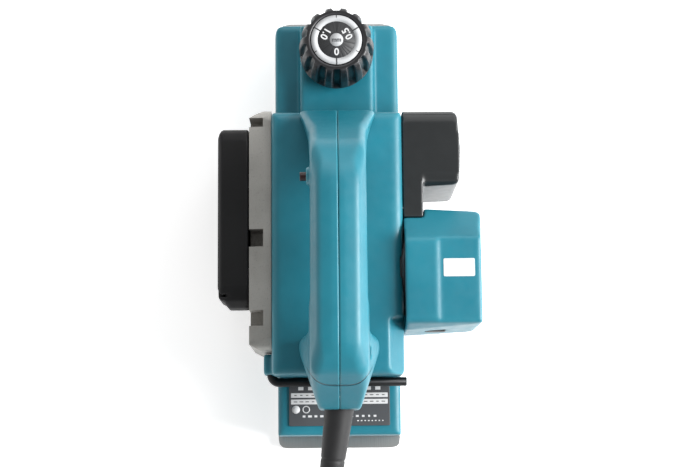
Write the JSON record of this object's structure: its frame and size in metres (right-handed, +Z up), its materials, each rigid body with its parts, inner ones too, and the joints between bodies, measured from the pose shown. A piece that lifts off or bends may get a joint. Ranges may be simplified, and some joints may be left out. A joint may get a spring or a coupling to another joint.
{
  "type": "electric hand planer",
  "caption": "Corded electric hand planer with D-handle, side motor housing, belt cover, chip chute, turning depth knob and stowed socket wrench.",
  "frame": {"origin": "centre of the rear sole's flat underside", "axes": "+Y forward in the planing direction, +X to the motor side, +Z up"},
  "size_m": [0.1703, 0.4895, 0.158],
  "materials": {
    "casting": "fine blasted die casting, soles ground",
    "teal_plastic": "moulded glass-filled nylon, fine spark texture",
    "black_plastic": "moulded, fine texture",
    "gloss_black_plastic": "moulded, satin gloss",
    "plate_grey": "printed foil plate",
    "button_red": "moulded",
    "white_print": "printed dial",
    "black_steel": "black oxide",
    "rubber": "matt rubber",
    "steel": "machined",
    "aluminium_drum": "machined",
    "copper": "enamelled copper",
    "insulator": "phenolic moulding",
    "carbon": "pressed carbon",
    "brass": "plated pins"
  },
  "bodies": {
    "housing": {"rear_base": "casting", "main_frame": "casting", "body_cover": "teal_plastic", "front_deck": "teal_plastic", "rear_deck": "teal_plastic", "handle_left": "teal_plastic", "handle_right": "teal_plastic", "motor_housing": "teal_plastic", "switch_body": "black_plastic", "belt_cover": "black_plastic", "brush_cap_front": "black_plastic", "brush_cap_rear": "black_plastic", "cord_clamp": "black_plastic", "plug_body": "black_plastic", "chip_chute": "gloss_black_plastic", "rating_plate": "plate_grey", "handle_screw_rear": "black_steel", "handle_screw_front": "black_steel", "belt_cover_screw_rear": "black_steel", "belt_cover_screw_front": "black_steel", "drive_belt": "rubber", "cord_guard": "rubber", "cord_lead": "rubber", "cord_coil": "rubber", "stator_core": "steel", "motor_bearing_left": "steel", "motor_bearing_right": "steel", "drum_bearing_left": "steel", "drum_bearing_right": "steel", "knob_spring": "steel", "field_coil_front": "copper", "field_coil_rear": "copper", "brush_holder_front": "insulator", "brush_holder_rear": "insulator", "carbon_brush_front": "carbon", "carbon_brush_rear": "carbon", "plug_pin_left": "brass", "plug_pin_right": "brass"},
    "cutter": {"cutter_drum": "aluminium_drum", "drum_pulley": "steel", "planer_blade_1": "steel", "planer_blade_2": "steel", "blade_clamp_1": "black_steel", "blade_clamp_2": "black_steel", "clamp_bolt_1": "steel", "clamp_bolt_2": "steel", "clamp_bolt_3": "steel", "clamp_bolt_4": "steel"},
    "rotor": {"armature_core": "steel", "motor_shaft": "steel", "motor_pulley": "steel", "commutator": "copper", "cooling_fan": "black_plastic"},
    "knob": {"depth_knob": "black_plastic", "dial_plate": "white_print", "adjusting_screw": "steel"},
    "front_shoe": {"front_base": "casting"},
    "trigger": {"switch_trigger": "black_plastic"},
    "lock": {"lock_button": "button_red"},
    "wrench": {"socket_wrench": "black_steel"}
  },
  "joints": [
    {"name": "drum_spin", "type": "hinge", "parent": "housing", "child": "cutter", "pos_m": [0, 0.095, 0.027], "axis": [1, 0, 0], "continuous": true},
    {"name": "motor_spin", "type": "hinge", "parent": "housing", "child": "rotor", "pos_m": [0, 0.028, 0.058], "axis": [1, 0, 0], "continuous": true},
    {"name": "knob_turn", "type": "hinge", "parent": "housing", "child": "knob", "pos_m": [0, 0.1733, 0.06], "axis": [0, 0, -1], "range_deg": [0, 240]},
    {"name": "front_base_lift", "type": "slide", "parent": "housing", "child": "front_shoe", "axis": [0, 0, 1], "range_m": [0, 0.001], "deforming": ["knob_spring"]},
    {"name": "trigger_squeeze", "type": "hinge", "parent": "housing", "child": "trigger", "pos_m": [0, 0.0655, 0.127], "axis": [-1, 0, 0], "range_deg": [0, 8], "stiffness_Nm_per_rad": 1, "springref_deg": -6.88},
    {"name": "lock_press", "type": "slide", "parent": "housing", "child": "lock", "axis": [1, 0, 0], "range_m": [0, 0.003], "stiffness_N_per_m": 400, "springref_m": -0.002},
    {"name": "wrench_pull", "type": "slide", "parent": "housing", "child": "wrench", "axis": [0, -1, 0], "range_m": [0, 0.04]}
  ],
  "couplings": [
    {"joint": "motor_spin", "follows": "drum_spin", "ratio": 1.609},
    {"joint": "knob_turn", "follows": "front_base_lift", "rad_per_m": 4188}
  ]
}
